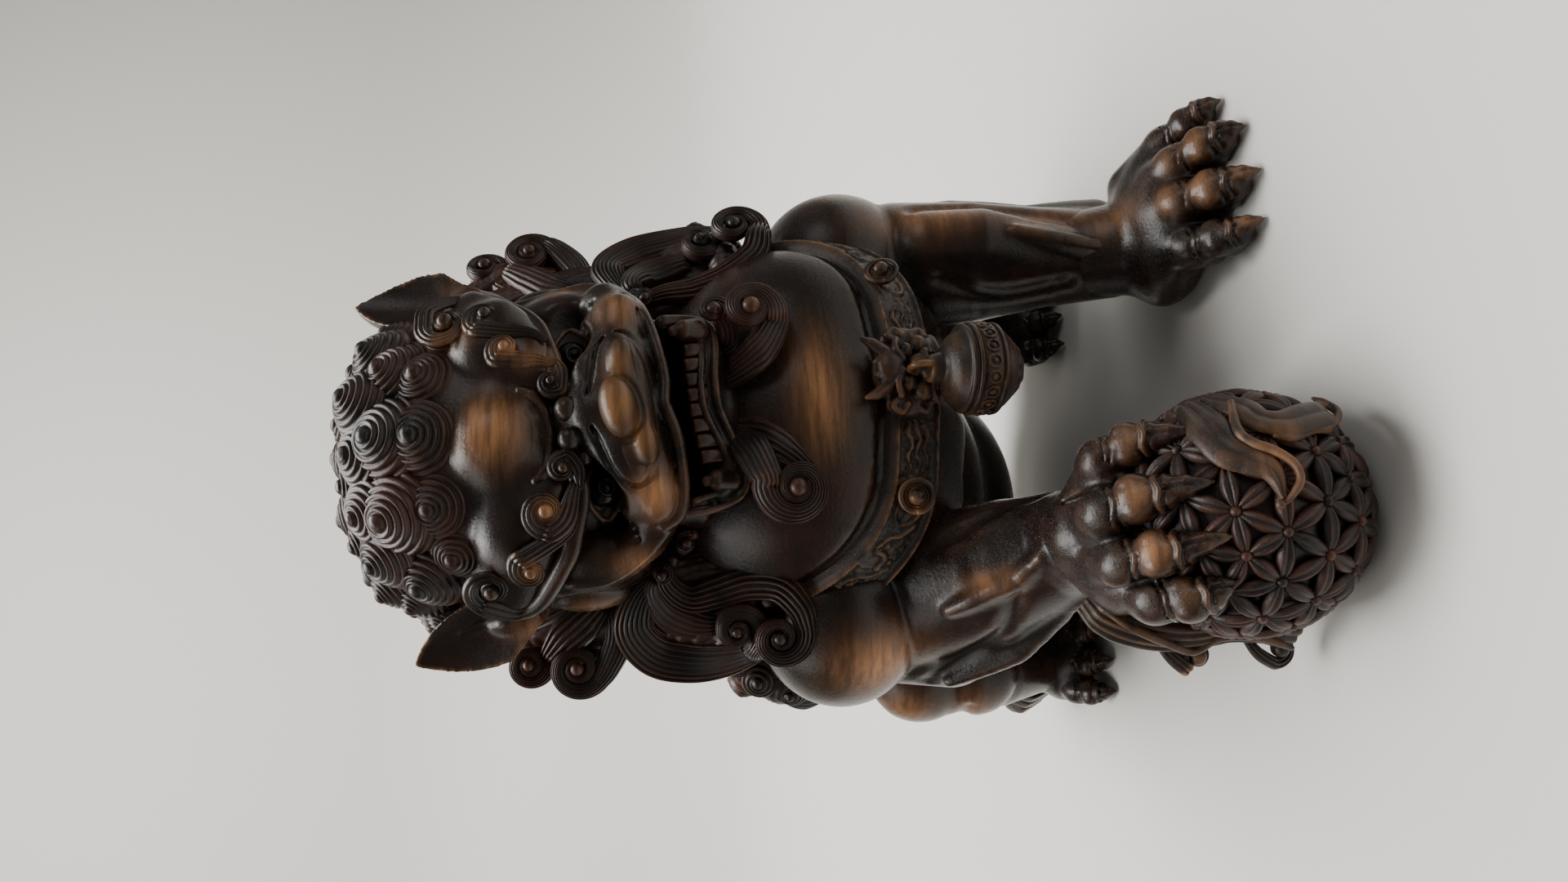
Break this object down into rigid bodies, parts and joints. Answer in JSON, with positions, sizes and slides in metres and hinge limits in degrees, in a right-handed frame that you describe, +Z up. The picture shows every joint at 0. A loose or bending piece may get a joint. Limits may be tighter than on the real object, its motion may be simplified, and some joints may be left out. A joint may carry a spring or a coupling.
{
  "type": "guardian lion statue",
  "caption": "Seated foo dog (guardian lion) statue, right forepaw on a pierced ball, snail-curl mane, open mouth, collar with beast mask and bell; stands on its paws and the ball.",
  "frame": {"origin": "middle of the bounding box, on the surface that the statue stands on", "axes": "+Z up, the lion looks along -Y, its left side is +X and its right side, with the ball, is -X"},
  "size_m": [0.202, 0.2776, 0.293],
  "materials": {
    "skin": "dark brown antique finish, satin, rubbed to brown bronze on the high places",
    "hair": "dark brown antique finish with grooved strands, dull in the grooves",
    "gilt": "dark brown rubbed to bronze on the relief",
    "relief": "stippled dark brown with raised scrolls",
    "ball": "dark brown pierced relief, reddish on the petals",
    "eye": "near-black gloss",
    "ivory_brown": "reddish brown satin"
  },
  "bodies": {
    "root": {"bell": "gilt", "collar_beast_mask": "gilt", "collar_stud_right": "gilt", "collar_stud_left": "gilt", "collar_band": "relief", "nose": "gilt", "eye_right": "eye", "eye_left": "eye", "brow_right": "skin", "brow_left": "skin", "forehead_boss": "skin", "fang_lower_right": "ivory_brown", "fang_lower_left": "ivory_brown", "teeth_lower": "ivory_brown", "tongue": "skin", "ear_right": "skin", "ear_left": "skin", "beard_lock_right": "hair", "beard_lock_left": "hair", "lower_jaw": "skin", "curl_cap": "hair", "head": "skin", "mane_side_right": "hair", "mane_side_left": "hair", "mane_back": "hair", "shoulder_lock_right": "hair", "shoulder_lock_left": "hair", "ball": "ball", "ball_ribbon_right": "relief", "ball_ribbon_left": "relief", "forepaw_right": "skin", "forepaw_left": "skin", "foreleg_right": "skin", "foreleg_left": "skin", "hind_paw_right": "skin", "hind_paw_left": "skin", "hind_leg_right": "skin", "hind_leg_left": "skin", "tail": "hair", "torso": "skin"}
  },
  "joints": []
}
